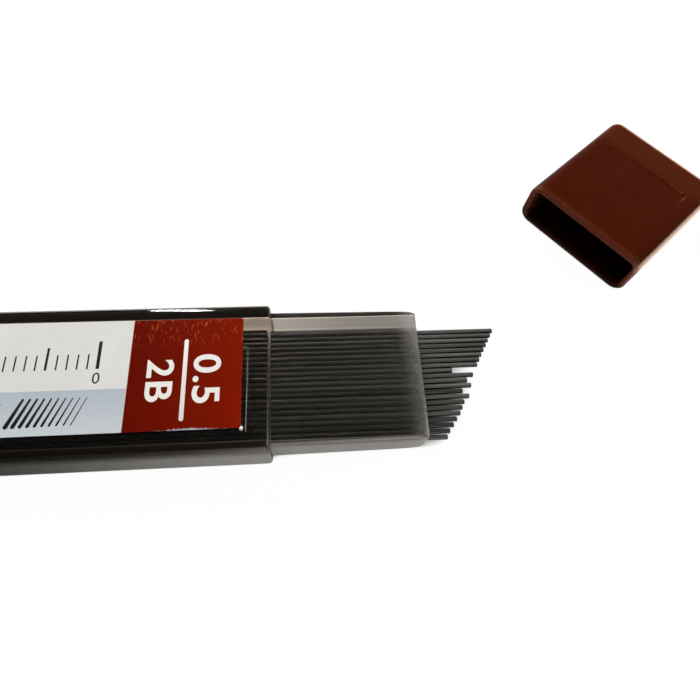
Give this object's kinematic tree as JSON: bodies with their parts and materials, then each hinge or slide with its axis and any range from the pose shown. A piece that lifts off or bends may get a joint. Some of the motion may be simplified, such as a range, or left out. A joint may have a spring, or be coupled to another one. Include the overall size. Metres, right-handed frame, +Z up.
{
  "type": "refill lead case",
  "caption": "Flat slide-cap case for fine refill leads: smoke-tinted moulded tube with a stepped neck, loose brown push-on cap, printed label and graphite leads fanned out of the mouth.",
  "frame": {"origin": "centre of the body's flat underside, midway between the closed end and the shoulder", "axes": "+X along the case towards the mouth, +Y across the broad face away from the viewer, +Z up out of the label"},
  "size_m": [0.1193, 0.0439, 0.0058],
  "materials": {
    "smoke_plastic": "smoke-tinted clear moulding, glossy",
    "cap_plastic": "brown moulding, satin",
    "label_film": "printed film, semi-gloss",
    "graphite": "polymer-bound graphite, satin"
  },
  "bodies": {
    "case": {"case_body": "smoke_plastic", "label": "label_film"},
    "cap": {"cap": "cap_plastic"},
    "lead_01": {"lead_01": "graphite"},
    "lead_02": {"lead_02": "graphite"},
    "lead_03": {"lead_03": "graphite"},
    "lead_04": {"lead_04": "graphite"},
    "lead_05": {"lead_05": "graphite"},
    "lead_06": {"lead_06": "graphite"},
    "lead_07": {"lead_07": "graphite"},
    "lead_08": {"lead_08": "graphite"},
    "lead_09": {"lead_09": "graphite"},
    "lead_10": {"lead_10": "graphite"},
    "lead_11": {"lead_11": "graphite"},
    "lead_12": {"lead_12": "graphite"},
    "lead_13": {"lead_13": "graphite"},
    "lead_14": {"lead_14": "graphite"},
    "lead_15": {"lead_15": "graphite"},
    "lead_16": {"lead_16": "graphite"},
    "lead_17": {"lead_17": "graphite"},
    "lead_18": {"lead_18": "graphite"},
    "lead_19": {"lead_19": "graphite"},
    "lead_20": {"lead_20": "graphite"},
    "lead_21": {"lead_21": "graphite"}
  },
  "joints": [
    {"name": "cap_slide", "type": "slide", "parent": "case", "child": "cap", "axis": [0.7738, 0.6334, 0], "range_m": [0, 0.0159]},
    {"name": "lead_01_slide", "type": "slide", "parent": "case", "child": "lead_01", "axis": [1, 0, 0], "range_m": [-0.01095, 0.0634]},
    {"name": "lead_02_slide", "type": "slide", "parent": "case", "child": "lead_02", "axis": [1, 0, 0], "range_m": [-0.0106, 0.06375]},
    {"name": "lead_03_slide", "type": "slide", "parent": "case", "child": "lead_03", "axis": [1, 0, 0], "range_m": [-0.01025, 0.0641]},
    {"name": "lead_04_slide", "type": "slide", "parent": "case", "child": "lead_04", "axis": [1, 0, 0], "range_m": [-0.0099, 0.06445]},
    {"name": "lead_05_slide", "type": "slide", "parent": "case", "child": "lead_05", "axis": [1, 0, 0], "range_m": [-0.00955, 0.0648]},
    {"name": "lead_06_slide", "type": "slide", "parent": "case", "child": "lead_06", "axis": [1, 0, 0], "range_m": [-0.0092, 0.06515]},
    {"name": "lead_07_slide", "type": "slide", "parent": "case", "child": "lead_07", "axis": [1, 0, 0], "range_m": [-0.00885, 0.0655]},
    {"name": "lead_08_slide", "type": "slide", "parent": "case", "child": "lead_08", "axis": [1, 0, 0], "range_m": [-0.0085, 0.06585]},
    {"name": "lead_09_slide", "type": "slide", "parent": "case", "child": "lead_09", "axis": [1, 0, 0], "range_m": [-0.00555, 0.0688]},
    {"name": "lead_10_slide", "type": "slide", "parent": "case", "child": "lead_10", "axis": [1, 0, 0], "range_m": [-0.0078, 0.06655]},
    {"name": "lead_11_slide", "type": "slide", "parent": "case", "child": "lead_11", "axis": [1, 0, 0], "range_m": [-0.00705, 0.0673]},
    {"name": "lead_12_slide", "type": "slide", "parent": "case", "child": "lead_12", "axis": [1, 0, 0], "range_m": [-0.0074, 0.06695]},
    {"name": "lead_13_slide", "type": "slide", "parent": "case", "child": "lead_13", "axis": [1, 0, 0], "range_m": [-0.00635, 0.068]},
    {"name": "lead_14_slide", "type": "slide", "parent": "case", "child": "lead_14", "axis": [1, 0, 0], "range_m": [-0.007, 0.06735]},
    {"name": "lead_15_slide", "type": "slide", "parent": "case", "child": "lead_15", "axis": [1, 0, 0], "range_m": [-0.00635, 0.068]},
    {"name": "lead_16_slide", "type": "slide", "parent": "case", "child": "lead_16", "axis": [1, 0, 0], "range_m": [-0.00605, 0.0683]},
    {"name": "lead_17_slide", "type": "slide", "parent": "case", "child": "lead_17", "axis": [1, 0, 0], "range_m": [-0.0057, 0.06865]},
    {"name": "lead_18_slide", "type": "slide", "parent": "case", "child": "lead_18", "axis": [1, 0, 0], "range_m": [-0.00525, 0.0691]},
    {"name": "lead_19_slide", "type": "slide", "parent": "case", "child": "lead_19", "axis": [1, 0, 0], "range_m": [-0.0048, 0.06955]},
    {"name": "lead_20_slide", "type": "slide", "parent": "case", "child": "lead_20", "axis": [1, 0, 0], "range_m": [-0.0043, 0.07005]},
    {"name": "lead_21_slide", "type": "slide", "parent": "case", "child": "lead_21", "axis": [1, 0, 0], "range_m": [-0.00395, 0.0704]}
  ]
}
